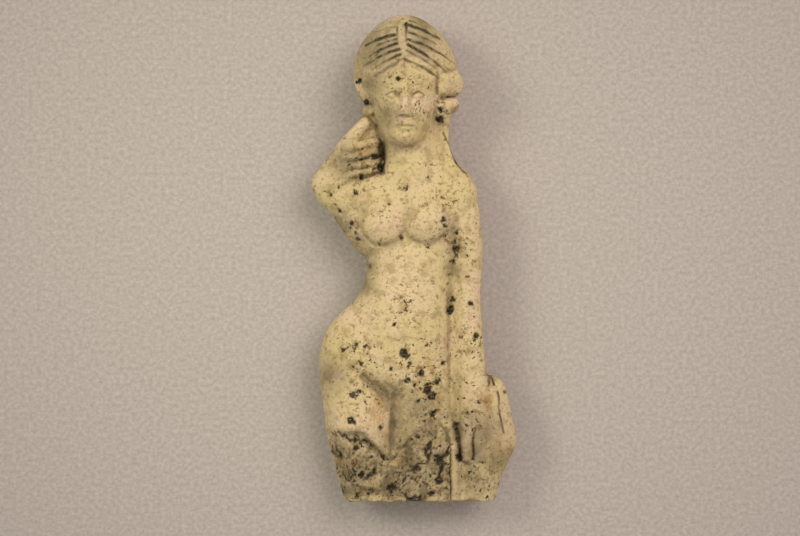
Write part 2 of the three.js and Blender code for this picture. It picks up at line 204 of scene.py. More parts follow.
# The right and the left breast: middle across and along.
BREASTS = ((-8.0, 8.8), (2.9, 9.4))
BREAST_RADIUS = 5.6

# Clay that softens the chest between and beside them: middle, half width, half length and height.
CHEST_FILLS = (
    (-2.6, 13.5, 2.6, 4.0, 0.9),
    (-13.2, 12.0, 2.0, 4.0, 0.7),
    (8.6, 12.5, 1.8, 4.0, 0.6),
)

# Each mass is followed by the width in millimetres over which it blends into what is there.
BODY = [
    (trunk, 1),
    (limb((3, 27.5, 11, 4.0), (10.6, 18.6, 11.6, 5.0), (11.4, 16.8, 11.8, 5.0), depth=0.95), 2.5),
    (limb((-4, 26.5, 11, 4.2), (-10.5, 17.5, 11.6, 5.0), depth=0.95), 2.5),
    (limb((-0.9, 34, 11.5, 6.7), (-0.6, 24, 11.2, 6.9), depth=0.9), 2.5),
    (limb((-6.8, 18.0, 11.8, 4.8), (-8.0, 9.0, 13.6, 6.3)), 0.9),
    (limb((2.6, 18.5, 11.8, 4.8), (3.0, 9.6, 13.6, 6.3)), 0.9),
    (blob(-2.6, -18, 12.0, 10.5, 17, 8.4), 4),
    (limb((-16.2, -33, 10.8, 7.4), (-14.2, -44, 11.8, 8.3), (-9.0, -68, 11.3, 7.4)), 1.2),
    (limb((2.6, -33, 10.4, 8.2), (3.0, -50, 10.8, 8.0), (2.6, -68, 10.9, 7.6)), 2.5),
    (blob(-14.2, -27, 7.6, 8.6, 9.4, 8.2), 2),
    (blob(-0.2, -27, 7.6, 8.4, 9.4, 8.2), 2),
]
ARMS = [
    (limb((11.6, 16.6, 12.0, 4.9), (13.9, 4, 12.6, 4.1), (13.5, -12, 13.0, 3.9), (15.2, -30, 13.4, 3.9),
          (16.2, -39, 13.2, 4.3)), 0.9),
    (limb((-11.0, 15.4, 11.8, 5.3), (-21.2, 18.2, 12.0, 4.6), depth=0.95), 1.6),
    (limb((-20.2, 17.0, 11.6, 4.1), (-12.4, 6.0, 11.6, 4.5)), 2.4),
    (limb((-22.6, 19.4, 12.2, 4.2), (-16.4, 27.8, 12.4, 3.8)), 0.7),
]
CLAY_LEFT_BETWEEN = [
    (limb((10.4, 12, 11.4, 3.0), (10.6, -34, 11.6, 3.2), (9.8, -60, 11, 3)), 1.6),
    (limb((-12, 20, 10.4, 5), (-12.5, 31, 10.4, 4)), 1.2),
    (limb((-16, 22, 10.4, 4), (-8, 33, 10.4, 4)), 1.2),
]
HEAD = [
    (blob(-2.3, 48.3, 12.2, 13.5, 13.0, 12.7), 2),
    (blob(-2.6, 51.0, 12.2, 9.8, 12.1, 9.6), 3),
    (blob(FACE_X, 43.4, 14.0, 8.8, 9.8, 11.3), 2),
    (blob(FACE_X, 39.0, 13.6, 8.0, 10.8, 11.7), 1.5),
    (blob(-2.2, 37.2, 5.2, 5.0, 4.0, 4.8), 1.0),
    (blob(FACE_X, 31.3, 21.0, 2.8, 2.0, 3.2), 2.4),
    (limb((FACE_X, BROW + 0.3, 24.3, 0.7), (FACE_X, NOSE_BASE + 1.3, 25.8, 0.95)), 1.3),
    (blob(FACE_X, NOSE_BASE + 0.9, 25.5, 1.25, 1.1, 1.4), 0.8),
    *both_sides(EYE * 0.36, lambda x: (blob(x, NOSE_BASE + 0.7, 24.8, 0.7, 0.7, 0.7), 0.6)),
]
HAIR = [
    (limb((-14.6, 46.2, 15.0, 1.2), (-14.2, 43.4, 16.8, 1.9), (-12.6, 41.2, 17.4, 1.7)), 0.4),
    (limb((-13.2, 38.6, 15.0, 1.5), (-11.0, 38.6, 16.2, 1.5)), 0.3),
    (limb((-11.0, 38, 12, 2.2), (-9.8, 31, 12.2, 2.4)), 1.2),
    (blob(9.6, 44.8, 12.0, 3.2, 3.0, 5.0), 0.8),
    (limb((7.8, 45.7, 20.6, 1.8), (11.0, 46.4, 18.2, 2.0)), 0.4),
    (limb((7.8, 43.6, 20.0, 1.8), (10.9, 43.8, 17.6, 1.9)), 1.6),
    (blob(8.4, 39.7, 12.0, 3.2, 2.4, 4.5), 0.8),
    (limb((7.0, 39.7, 18.0, 1.6), (10.1, 39.9, 16.2, 1.8)), 0.4),
    (limb((7.4, 38.2, 16.6, 2.1), (8.6, 35.6, 14.0, 1.8), (7.6, 30.6, 12.8, 1.5)), 0.8),
    (limb((7.0, 37.5, 12.4, 2.3), (6.2, 31, 12.2, 2.2), (8.0, 25.5, 12.0, 2.4)), 1.0),
    (limb((7.2, 32.0, 14.0, 1.1), (8.6, 28.6, 14.0, 1.1), (10.2, 24.7, 13.8, 1.0)), 0.6),
]
RAISED_HAND = [
    (blob(-15.8, 26.6, 12.4, 3.6, 5.4, 3.4), 1.2),
    (limb((-17.4, 28.5, 15.4, 1.35), (-10.0, 29.9, 16.6, 1.2)), 0.35),
    (limb((-18.2, 25.9, 15.4, 1.4), (-10.0, 27.5, 16.9, 1.25)), 0.35),
    (limb((-18.0, 23.5, 15.2, 1.35), (-9.0, 25.0, 16.8, 1.25)), 0.35),
    (limb((-17.4, 21.4, 14.8, 1.2), (-11.8, 22.8, 16.0, 1.1)), 0.35),
    (limb((-17.0, 29.3, 11.8, 2.3), (-12.6, 34.4, 11.8, 2.3)), 0.8),
    (limb((-19.0, 28.4, 13.4, 1.8), (-15.6, 31.8, 14.8, 1.8), (-12.6, 35.0, 15.6, 1.5)), 0.6),
]
DRAPERY = [
    (limb((19.0, -35.6, 11.2, 5.4), (20.6, -47, 11.2, 6.3), (17.6, -54, 11.0, 6.0), (14.4, -66, 11.0, 5.8),
          depth=0.72), 0.8),
    (limb((12.0, -48, 10.6, 4.0), (11.6, -66, 10.6, 4.2)), 1.0),
    (limb((16.4, -39, 12.8, 4.4), (17.2, -45, 12.6, 5.0), (17.0, -49.5, 12.0, 4.6), depth=0.85), 1.2),
    (limb((13.4, -42, 14.6, 1.6), (13.6, -51.6, 14.4, 1.4)), 0.5),
    (limb((17.4, -40, 14.6, 2.6), (17.8, -50.0, 13.6, 2.4)), 0.7),
    (limb((8.2, -40, 15.4, 1.2), (9.6, -46, 15.6, 1.1), (10.4, -54, 14.8, 1.1),
          (10.6, -66, 14.4, 1.2)), 0.9),
]
MASSES = BODY + ARMS + CLAY_LEFT_BETWEEN + HEAD + HAIR + RAISED_HAND + DRAPERY

# Eye sockets are pressed in, and then the lids and lips stand out.
SOCKETS = both_sides(EYE, lambda x: blob(x, EYE_Y, 26.6, 2.2, 1.3, 2.6))
LIP_ENDS = [(FACE_X + side * 1.8, MOUTH + 0.3, 23.6, 0.4) for side in (-1, 1)]
LIDS_AND_LIPS = [
    *both_sides(EYE, lambda x: (blob(x, EYE_Y - 0.1, 22.6, 1.5, 0.75, 1.35), 0.4)),
    (limb(LIP_ENDS[0], (FACE_X, MOUTH + 0.42, 24.5, 0.45), LIP_ENDS[1]), 0.6),
    (blob(FACE_X, MOUTH - 0.75, 24.0, 1.35, 0.5, 0.75), 0.6),
]


def fuse(a, b, blend):
    """Joins two masses with a soft seam."""
    h = np.maximum(blend - np.abs(a - b), 0) / blend
    return np.minimum(a, b) - h * h * blend / 4


def clay(x, y, z):
    """Distance of points from the surface of the whole figurine."""
    d = np.full_like(x, HIGHEST)
    for mass, blend in MASSES:
        d = fuse(d, mass(x, y, z), blend)
    for socket in SOCKETS:
        d = -fuse(-d, socket(x, y, z), 1.0)
    for mass, blend in LIDS_AND_LIPS:
        d = fuse(d, mass(x, y, z), blend)
    return d


def level(x, y, start):
    """Level at which lines through x, y first meet the clay, down on the front or up behind."""
    shape = x.shape
    x, y = x.ravel(), y.ravel()
    stride = math.copysign(LEVEL_STRIDE, SEAM - start)
    outside = np.full(x.size, SEAM)
    inside = np.full(x.size, SEAM)
    waiting = np.arange(x.size)
    z = start
    while waiting.size and (SEAM - z) * stride > 0:
        z += stride
        met = clay(x[waiting], y[waiting], np.full(waiting.size, z)) < 0
        inside[waiting[met]] = z
        outside[waiting[met]] = z - stride
        waiting = waiting[~met]
    for _ in range(LEVEL_HALVINGS):
        middle = (outside + inside) / 2
        out = clay(x, y, middle) > 0
        outside = np.where(out, middle, outside)
        inside = np.where(out, inside, middle)
    return inside.reshape(shape)


def step(a, b, v):
    """Soft step from 0 to 1 as v goes from a to b, either way round."""
    t = np.clip((v - a) / (b - a), 0, 1)
    return t * t * (3 - 2 * t)


def to_segment(x, y, ax, ay, bx, by):
    """Distance to a line between two points, and how far along it the nearest point is."""
    ux, uy = bx - ax, by - ay
    t = np.clip(((x - ax) * ux + (y - ay) * uy) / (ux * ux + uy * uy), 0, 1)
    return np.hypot(x - ax - t * ux, y - ay - t * uy), t


def grain(x, y, size, seed):
    """Smooth random heights from -1 to 1 on lumps of about the given size."""
    lattice = np.random.default_rng(seed).uniform(-1, 1, (257, 257))
    u, v = x / size + 128, y / size + 128
    i, j = np.floor(u).astype(int) % 256, np.floor(v).astype(int) % 256
    s, t = u - np.floor(u), v - np.floor(v)
    s, t = s * s * (3 - 2 * s), t * t * (3 - 2 * t)
    low = lattice[i, j] * (1 - s) + lattice[i + 1, j] * s
    high = lattice[i, j + 1] * (1 - s) + lattice[i + 1, j + 1] * s
    return low * (1 - t) + high * t


def rough(x, y, size, seed, octaves=4):
    """Layers of grain, each half the size and strength of the one before."""
    return sum(grain(x, y, size / 2**k, seed + k) / 2**k for k in range(octaves))


def lid(x, rise, depth, soil):
    """The line of a lid in short pieces, arched over the eye or, with a negative rise, under it."""
    across = [EYE / 2 * share for share in (-1, -0.6, -0.2, 0.2, 0.6, 1)]
    bends = [(x + away, EYE_Y - 0.15 + rise * (1 - (2 * away / EYE) ** 2)) for away in across]
    return [(*start, *end, 0.24, depth, soil) for start, end in zip(bends[:-1], bends[1:])]


# Lines drawn in the face with a point, in the same terms as the grooves below: the lids above and
# below each eye, the inner corners, under the nose, between the lips and under them.
FACE_LINES = (
    *sum(both_sides(EYE, lambda x: lid(x, 0.8, 0.4, 0.5) + lid(x, -0.75, 0.25, 0.3)), []),
    *both_sides(1.6, lambda x: (x, BROW - 0.8, x, EYE_Y - 1.4, 0.7, 0.55, 0.15)),
    (FACE_X - 1.2, NOSE_BASE - 0.2, FACE_X + 1.2, NOSE_BASE - 0.2, 0.3, 0.35, 0.45),
    (FACE_X - 2.1, MOUTH - 0.2, FACE_X + 2.1, MOUTH - 0.2, 0.28, 0.5, 0.5),
    (FACE_X - 1.2, MOUTH - 1.7, FACE_X + 1.2, MOUTH - 1.7, 0.5, 0.3, 0.1),
)

# Grooves in the front: two ends, width, depth and how dark it is painted, with soil, and in the folds and
# valleys marked below with painted shade.
FRONT_GROOVES = (
    *FACE_LINES,
    # the left hand: beside it, between its fingers and at their tips
    (10.7, -42.9, 11.6, -47.0, 0.8, 1.2, 0.75),
    (11.6, -47.0, 12.1, -52.2, 0.6, 1.5, 0.85),
    (15.9, -43.9, 15.2, -47.5, 0.3, 0.8, 0.7),
    (15.2, -47.5, 15.3, -52.2, 0.35, 1.0, 0.9),
    (12.1, -52.4, 14.4, -53.6, 0.45, 0.8, 0.7),
    (14.4, -53.6, 18.2, -53.0, 0.6, 0.4, 0.2),
    # where the drapery meets the leg
    (8.2, -44.0, 9.2, -48.0, 0.4, 1.0, 0.5),
    (9.2, -48.0, 9.6, -63.5, 0.28, 1.2, 0.8),
    # folds along the drapery's outer edge
    (19.4, -29.0, 20.8, -32.8, 0.28, 0.6, 0.7),
    (21.6, -34.4, 22.2, -38.6, 0.3, 0.4, 0.7),
    (22.2, -38.6, 22.5, -41.6, 0.3, 0.5, 0.8),
    (22.5, -41.6, 23.4, -45.4, 0.28, 0.4, 0.6),
    # between the fingers of the raised hand
    (-16.5, 27.3, -10.5, 28.7, 0.28, 0.45, 0.5),
    (-16.8, 24.8, -10.5, 26.3, 0.28, 0.45, 0.5),
    (-16.0, 22.6, -11.0, 23.8, 0.28, 0.45, 0.5),
    # the crook of the raised arm
    (-22.6, 18.0, -18.6, 18.9, 0.5, 0.35, 0.2),
    (-18.6, 18.9, -14.8, 20.9, 0.5, 0.6, 0.3),
    # the lock on the left shoulder
    (7.5, 32.5, 9.3, 28.9, 0.25, 0.5, 0.5),
    (9.3, 28.9, 10.7, 24.9, 0.3, 0.6, 0.9),
    (10.7, 24.9, 13.4, 22.2, 0.3, 0.5, 0.8),
    # between the left arm and the body, darkened partly as painted shade
    (10.9, 10.0, 9.4, -2.0, 1.1, 0.5, 0.3),
    (9.4, -2.0, 9.0, -14.0, 0.8, 0.5, 0.3),
    (9.0, -14.0, 9.1, -41.0, 0.5, 0.35, 0.25),
    (9.4, -40.8, 12.4, -42.2, 1.5, 0.8, 0.3),
    # the crease between belly and right thigh, and the thigh's edge, darkened as painted shade
    (-15.8, -28.4, -13.0, -30.6, 1.0, 0.7, 0.15),
    (-13.0, -30.6, -10.4, -32.6, 1.2, 1.6, 0.3),
    (-10.4, -32.6, -7.6, -35.0, 1.7, 2.2, 0.45),
    (-7.6, -35.0, -6.4, -39.0, 1.4, 1.5, 0.35),
    (-7.6, -33.2, -4.6, -34.8, 1.6, 1.2, 0.25),
    (-5.6, -38.0, -6.0, -51.0, 0.8, 0.5, 0.45),
    # under the edge of the flaked area, darkened as painted shade
    (-16.4, -45.2, -13.4, -45.6, 0.8, 0.8, 0.3),
    (-13.4, -45.6, -10.2, -49.2, 1.0, 1.3, 0.35),
    (-10.2, -49.2, -7.4, -51.6, 0.7, 0.9, 0.3),
    # between the neck and the raised hand
    (-9.6, 34.5, -8.6, 29.5, 0.6, 1.4, 0.5),
    (-8.6, 29.5, -8.4, 22.5, 1.0, 2.0, 1.0),
    (-8.4, 22.5, -13.4, 20.6, 0.5, 0.9, 0.8),
    # the left puff of hair, darkened beside it as painted shade, and the hairline
    (5.9, 47.4, 5.8, 42.4, 0.45, 0.9, 0.3),
    (-2.2, 50.4, 1.6, 48.9, 0.35, 0.3, 0.6),
    (1.6, 48.9, 6.2, 46.2, 0.4, 0.4, 0.75),
    (-3.8, 50.2, -9.8, 46.4, 0.35, 0.3, 0.4),
)

# Strokes scored in the hair by hand, from the parting outwards: two ends and depth. They bow up by a
# share of their length, wander, and are wider where they are pressed deeper.
STRAND_BOW = 0.045
STRAND_WANDER = 0.14
STRAND_WIDTH = 0.29
WIDER_WITH_DEPTH = 0.16
STRANDS = (
    (-1.1, 61.2, 3.6, 58.7, 0.4),
    (-2.2, 60.0, 6.6, 56.5, 0.9),
    (-1.8, 57.8, 5.7, 54.9, 0.6),
    (-1.6, 55.9, 11.8, 49.4, 0.6),
    (-1.6, 54.4, 8.2, 47.8, 0.65),
    (-1.8, 52.7, 7.0, 47.3, 0.5),
    (3.6, 50.4, 12.2, 46.6, 0.35),
    (-4.7, 59.4, -9.9, 58.3, 0.35),
    (-4.7, 57.2, -12.4, 54.8, 0.9),
    (-4.5, 56.0, -10.1, 54.2, 0.5),
    (-4.4, 54.7, -11.4, 51.7, 0.65),
    (-3.8, 53.2, -13.2, 49.0, 0.55),
    (-3.5, 51.8, -10.8, 47.9, 0.5),
    (-9.5, 52.0, -14.6, 47.4, 0.35),
    (-4.3, 59.4, -4.3, 54.6, 0.45),
    (-2.0, 60.4, -2.0, 55.4, 0.7),
)

# Grooves in the back: spine, cleft, the fold under it, the legs and the edge of the drapery.
BACK_GROOVES = (
    (-0.8, 20, -2.6, -14, 1.5, 0.9),
    (-7.2, -17, -7.0, -33, 1.1, 2.2),
    (-21.5, -37.0, 5.5, -36.0, 1.6, 0.8),
    (-6.4, -36, -5.2, -64, 1.3, 1.6),
    (10.6, -30, 10.8, -64, 0.9, 1.3),
    (10.2, 12, 10.2, -30, 1.0, 1.2),
)

# How closely rings follow one another, from the break to the crown: closest over the hair and the face.
ROW_DENSITY = ((-63, -38, -28, 14, 20, 32, 36, 64), (1.0, 1.0, 0.85, 0.85, 1.2, 1.2, 1.6, 1.6))

# Edge of the area over the knees where the surface has flaked off, from right to left.
FLAKED_EDGE = (
    (-24, -45), (-20.5, -45), (-12.5, -45.6), (-9.2, -49), (-6.4, -51.4), (-3.5, -48.6),
    (0.5, -45), (3.9, -42), (7.0, -41.8), (9.0, -47), (9.4, -64),
)
FLAKE_DEPTH = 1.2

# The leg behind the right thigh starts at this edge, from its lower to its upper end, and lies deeper.
LEG_EDGE = ((-51, -35), (-6.7, -6.1))
LEG_DROP = 2.5

# Pits where grains fell out or air was trapped: place across, place along and radius. Their depth is a
# share of the radius.
PIT_DEPTH = 0.9
PITS = (
    (-4.0, 45.7, 0.45), (-3.2, 5.6, 0.55), (11.0, 2.3, 0.8), (11.0, 6.5, 0.5), (7.5, 9.8, 0.6),
    (7.9, 8.7, 0.5), (-2.5, -24.1, 0.85), (-2.0, -25.4, 0.75), (-1.2, -26.9, 0.45), (-1.8, -31.6, 0.8),
    (1.7, -29.6, 0.7), (3.7, -34.2, 0.9), (4.6, -35.6, 0.85), (5.9, -32.2, 0.7), (6.6, -31.4, 0.5),
    (0.2, -32.6, 0.5), (-0.3, -34.4, 0.45), (7.7, -27.0, 0.5), (9.5, -13.4, 0.85), (14.7, -11.6, 0.6),
    (16.1, -20.4, 0.7), (-5.8, -28.3, 0.55), (3.5, -22.6, 0.4), (-5.3, -17.1, 0.5), (-0.9, -14.0, 0.3),
    (-16.1, -42.0, 0.75), (5.1, -40.0, 0.75), (3.0, -40.2, 0.5), (1.2, -36.5, 0.5), (-15.2, -48.8, 0.6),
    (-13.4, -55.8, 0.85), (-8.7, 23.6, 0.8), (-10.2, 26.3, 0.7), (-13.4, 21.0, 0.8), (-16.5, 24.4, 0.4),
    (-8.4, -43.6, 0.4), (10.8, -43.1, 0.8), (11.6, -51.7, 0.8), (10.9, -44.4, 0.5), (23.5, -34.8, 0.4),
    (6.9, 35.8, 0.8), (-13.9, 45.7, 0.6), (11.2, 42.2, 0.5), (6.5, 38.2, 0.6), (-12.4, 40.2, 0.6),
    (-18.3, -23.6, 0.5), (-14.9, -22.2, 0.4), (-14.2, -34.6, 0.55), (1.0, -46.2, 0.4), (9.9, -48.0, 0.4),
    (-16.1, 8.9, 0.5), (-15.3, 8.2, 0.4), (-14.3, 4.9, 0.45), (-14.9, 17.0, 0.5), (-8.9, 3.5, 0.35),
    (-19.5, 18.4, 0.4), (-17.4, 11.6, 0.35), (-15.0, 6.6, 0.35), (-11.1, -51.2, 0.5), (6.4, -57.6, 0.8),
    (4.6, -60.4, 0.7), (7.2, -54.6, 0.5), (-19.0, -28.5, 0.35),
    (10.0, -0.8, 0.5), (9.2, -4.2, 0.4), (8.7, -6.8, 0.35), (10.0, -10.6, 0.5), (10.9, 0.6, 0.4),
    (-21.6, 16.4, 0.4), (-20.6, 14.0, 0.35), (-19.2, 12.2, 0.4), (-11.4, -2.0, 0.3), (13.9, -4.6, 0.4),
)


def strands(x, y):
    """Depth of the strokes in the hair, which are pressed unevenly."""
    depth = np.zeros_like(x)
    wander = STRAND_WANDER * rough(x, y, 1.6, 3, 2)
    pressure = 1 + 0.4 * grain(x, y, 1.5, 5)
    for ax, ay, bx, by, press in STRANDS:
        _, t = to_segment(x, y, ax, ay, bx, by)
        bow = STRAND_BOW * abs(bx - ax) * 4 * t * (1 - t)
        away, _ = to_segment(x, y - bow + wander, ax, ay, bx, by)
        width = STRAND_WIDTH + WIDER_WITH_DEPTH * press
        depth = np.maximum(depth, press * pressure * (1.15 - 0.5 * t) * np.exp(-((away / width) ** 2)))
    return depth


def flaked_edge(x, y):
    """How far below the ragged edge of the flaked area points are, in millimetres."""
    edge_x, edge_y = np.array(FLAKED_EDGE).T
    ragged = 0.9 * rough(x, y, 3.2, 31, 3)
    below = np.interp(x, edge_x, edge_y) + ragged - y
    return np.minimum(below, (9.3 - x) * 2)


def pitted(x, y):
    """Depth of the pits, whose outlines are ragged."""
    ragged = 0.5 * rough(x, y, 1.0, 51, 2)
    depth = np.zeros_like(x)
    for px, py, radius in PITS:
        away = np.hypot(x - px, y - py) + ragged * min(1, radius / 0.5)
        depth = np.maximum(depth, radius * PIT_DEPTH * step(radius * 1.4, radius * 0.6, away))
    return depth


def scored(x, y):
    """Depth of the grooves in the front, and how dark they are painted, with soil and, under the breasts
    and in the creases and valleys, with painted shade.
    """
    fold = under_breasts(x, y)
    depth = np.maximum(leg_gap(x, y), 0.35 * fold)
    # The fold under the breasts is darkened as painted shade.
    soil = 0.3 * fold
    wander = 0.25 * rough(x, y, 2.6, 43, 3)
    pressure = 1 + 0.35 * grain(x, y, 3.0, 45)
    for ax, ay, bx, by, width, deep, soil_and_shade in FRONT_GROOVES:
        away, _ = to_segment(x + wander, y - wander, ax, ay, bx, by)
        cut = pressure * np.exp(-((away / width) ** 2))
        depth = np.maximum(depth, deep * cut)
        soil = np.maximum(soil, soil_and_shade * step(0.25, 0.9, cut))
    return depth, soil


def cracks(x, y):
    """Cracks that wander and fork over the flaked area, 1 in the middle of one."""
    bent = rough(x + 0.8 * grain(x, y, 1.7, 63), y + 0.6 * grain(x, y, 1.3, 65), 4.2, 64, 3)
    return step(0.2, 0.05, np.abs(bent)) * step(-0.25, 0.25, rough(x, y, 6.0, 66, 2))


def leg_gap(x, y):
    """The drop from the round right thigh to the leg behind it, which rises again further on."""
    beyond = x - np.interp(y, *LEG_EDGE)
    across = step(-0.3, 0.8, beyond) * step(8.0, 1.0, beyond)
    return LEG_DROP * across * step(-31.0, -36.5, y) * step(-54, -49, y)


def under_breasts(x, y):
    """The fold under each breast."""
    fold = np.zeros_like(x)
    for cx, cy in BREASTS:
        away = (np.hypot(x - cx, y - cy) - BREAST_RADIUS) / 0.5
        fold = np.maximum(fold, np.exp(-(away**2)) * step(cy - 0.5, cy - 3.0, y))
    return fold


def combed_hair(x, y):
    """The hair, which stands out from the forehead, with its strokes taken off."""
    from_parting = np.abs(x - PARTING_X)
    slope = np.where(x < PARTING_X, *HAIRLINE_SLOPES)
    hairline = HAIRLINE - slope * from_parting + 0.35 * grain(x, y, 2.4, 41)
    softness = 0.35 + 0.09 * from_parting
    hair = HAIR_THICKNESS * step(-1, 1, (y - hairline) / softness) * step(36, 42, y)
    return hair - strands(x, y) * step(0.2, 0.9, y - hairline)


def flaked_off(x, y):
    """Depth of the flaked area, whose floor is left in ledges, crumbs and cracks."""
    ledges = 0.3 * (1 - 2 * np.abs(rough(x, y, 4.4, 67, 4))) ** 3
    crumbs = 0.26 * rough(x, y, 1.5, 69, 3)
    floor = FLAKE_DEPTH + 0.55 * rough(x, y, 5.0, 61, 5) + ledges + 0.6 * cracks(x, y) + crumbs
    return floor * step(-0.9, 1.3, flaked_edge(x, y))


def worn(x, y):
    """Heights of the worn skin, with lines drawn down the chest by wiping, and fills beside the breasts."""
    wiped = 0.07 * grain(x, y / 7, 0.7, 77) * step(-2, 6, y) * step(30, 24, y)
    wear = 0.16 * rough(x, y, 8.0, 71, 3) + 0.07 * rough(x, y, 1.8, 75, 3) + wiped
    for cx, cy, across, length, height in CHEST_FILLS:
        wear += height * np.exp(-(((x - cx) / across) ** 2) - ((y - cy) / length) ** 2)
    return wear


def front_relief(x, y):
    """What the mould, the scoring tool and the soil added to or took from the front."""
    grooves, _ = scored(x, y)
    return combed_hair(x, y) - grooves - flaked_off(x, y) - pitted(x, y) + worn(x, y)


def back_relief(x, y):
    """Grooves and wear of the back, outwards as on the front."""
    grooves = np.zeros_like(x)
    for ax, ay, bx, by, width, depth in BACK_GROOVES:
        away, _ = to_segment(x, y, ax, ay, bx, by)
        grooves = np.maximum(grooves, depth * np.exp(-((away / width) ** 2)))
    return 0.14 * rough(x, y, 8.0, 81, 4) - grooves


def break_wave(x):
    """How far the break stands out or in across the knees."""
    return sum(height * np.sin(turn * x + start) for height, turn, start in BREAK_WAVES)


def edges(heights):
    """Right and left edge of the figure on the seam, for rows at the given heights."""
    wave = step(CLEAR_OF_BREAK, BREAK_Y, heights)
    found = []
    for start, stride in ((-OUTSIDE, EDGE_STRIDE), (OUTSIDE, -EDGE_STRIDE)):
        tries = start + stride * np.arange(EDGE_TRIES)
        x = np.repeat(tries[None, :], len(heights), 0)
        y = heights[:, None] + wave[:, None] * break_wave(x)
        met = clay(x, y, np.full_like(x, SEAM)) < 0
        inside = tries[met.argmax(1)]
        outside = inside - stride
        for _ in range(EDGE_HALVINGS):
            middle = (inside + outside) / 2
            out = clay(middle, heights + wave * break_wave(middle), np.full_like(middle, SEAM)) > 0
            outside = np.where(out, middle, outside)
            inside = np.where(out, inside, middle)
        found.append(inside)
    return found


def spread(steps):
    """Shares of the way across a row, closer together towards the edges, where the skin is steep."""
    t = np.arange(steps) / steps
    return (t + (1 - np.cos(np.pi * t)) / 2) / 2


def skin(heights, front_steps, back_steps):
    """Rings of points round the figure, from the left edge over the front and back underneath."""
    right, left = edges(heights)
    wave = step(CLEAR_OF_BREAK, BREAK_Y, heights)[:, None]
    halves = []
    for start, end, share, highest in (
        (left, right, spread(front_steps), True),
        (right, left, spread(back_steps), False),
    ):
        x = start[:, None] + (end - start)[:, None] * share[None, :]
        y = heights[:, None] + wave * break_wave(x)
        if highest:
            z = np.maximum(level(x, y, HIGHEST) + front_relief(x, y), SEAM)
        else:
            z = np.clip(level(x, y, LOWEST) - back_relief(x, y), 0, SEAM)
        z[:, 0] = SEAM
        halves.append(np.stack([x, y, z], 2))
    return np.concatenate(halves, 1)


def hollow(heights, front_steps, back_steps):
    """Rings of the hollow, with as many points as the skin's."""
    turn = np.concatenate([np.arange(front_steps) / front_steps, 1 + np.arange(back_steps) / back_steps])
    right, left, front, back = [along(HOLLOW, k, heights)[:, None] for k in (1, 2, 3, 4)]
    x = (left + right) / 2 + (left - right) / 2 * np.cos(np.pi * turn)[None, :]
    z = (front + back) / 2 + (front - back) / 2 * np.sin(np.pi * turn)[None, :]
    near_break = step(CLEAR_OF_BREAK, BREAK_Y, heights)[:, None]
    y = heights[:, None] + near_break * break_wave(x)
    finger_marks = 0.25 * rough(x, y, 6.0, 91, 3) * (1 - near_break)
    return np.stack([x, y, z + finger_marks * np.sign(z - HOLLOW_MIDDLE)], 2)


def figurine_rings(front_steps, back_steps, skin_rows, break_rows, hollow_rows):
    """All rings from the crown to the break, over the broken edge and up the hollow."""
    crown_rows = skin_rows // CROWN_SHARE
    crown_end = CROWN[1] - CROWN_CAP
    rounding = 1 - np.cos(np.pi / 2 * np.arange(1, crown_rows + 1) / crown_rows)
    fine = np.linspace(crown_end, BREAK_Y, 2000)
    run = np.cumsum(np.interp(fine, *ROW_DENSITY))
    shares = np.linspace(run[0], run[-1], skin_rows - crown_rows + 1)[1:]
    heights = np.concatenate([CROWN[1] + (crown_end - CROWN[1]) * rounding, np.interp(shares, run, fine)])
    outer = skin(heights, front_steps, back_steps)
    rise = np.sin(np.pi / 2 * np.arange(hollow_rows) / hollow_rows)
    inner = hollow(BREAK_Y + (HOLLOW[0][0] - BREAK_Y) * rise, front_steps, back_steps)
    share = (np.arange(1, break_rows) / break_rows)[:, None, None]
    broken = outer[-1][None] * (1 - share) + inner[0][None] * share
    ragged = BREAK_ROUGHNESS * rough(broken[..., 0], broken[..., 2] * 1.3, 2.4, 95, 4)
    broken[..., 1] += ragged * np.sin(np.pi * share[..., 0]) ** 0.5
    return np.concatenate([outer, broken, inner]), len(heights)


def closed_faces(rings, steps):
    """Faces of a tube of rings closed by a point before its first ring and one after its last."""
    ring, k = np.meshgrid(np.arange(rings - 1), np.arange(steps), indexing="ij")
    following = (k + 1) % steps
    a, b = 1 + ring * steps + k, 1 + ring * steps + following
    quads = np.stack([a, b, b + steps, a + steps], 2).reshape(-1, 4)
    k = np.arange(steps)
    following = (k + 1) % steps
    last = 1 + (rings - 1) * steps
    first_cap = np.stack([np.zeros_like(k), 1 + following, 1 + k], 1)
    last_cap = np.stack([last + k, last + following, np.full_like(k, last + steps)], 1)
    return first_cap.tolist() + quads.tolist() + last_cap.tolist()


def smoothed(grid, rounds):
    """The grid of points after repeated averaging with its four neighbours."""
    out = grid.copy()
    for _ in range(rounds):
        beside = (np.roll(out, 1, 1) + np.roll(out, -1, 1)) / 2
        above = out.copy()
        above[1:-1] = (out[2:] + out[:-2]) / 2
        out = 0.5 * out + 0.25 * beside + 0.25 * above
    return out


def concavity(grid, rounds):
    """How far each point lies below the smoothed surface around it."""
    soft = smoothed(grid, rounds)
    across = np.roll(soft, -1, 1) - np.roll(soft, 1, 1)
    down = np.gradient(soft, axis=0)
    normal = np.cross(across, down)
    normal /= np.linalg.norm(normal, axis=2, keepdims=True) + 1e-9
    return ((soft - grid) * normal).sum(2)


# Places where iron in the soil has stained the clay: place across, place along and radius.
RUST = (
    (-8.6, -37.5, 2.6), (19.0, -38.0, 3.2), (22.5, -49.5, 3.6), (-13.5, 27.5, 2.0), (5.5, -36.0, 2.0),
    (-18.5, -51.0, 2.2), (-8.0, -44.5, 1.8), (-8.4, -41.0, 1.6), (-3.6, -54.5, 2.2),
    (-15.0, -53.0, 1.8), (3.0, -27.5, 1.8),
)
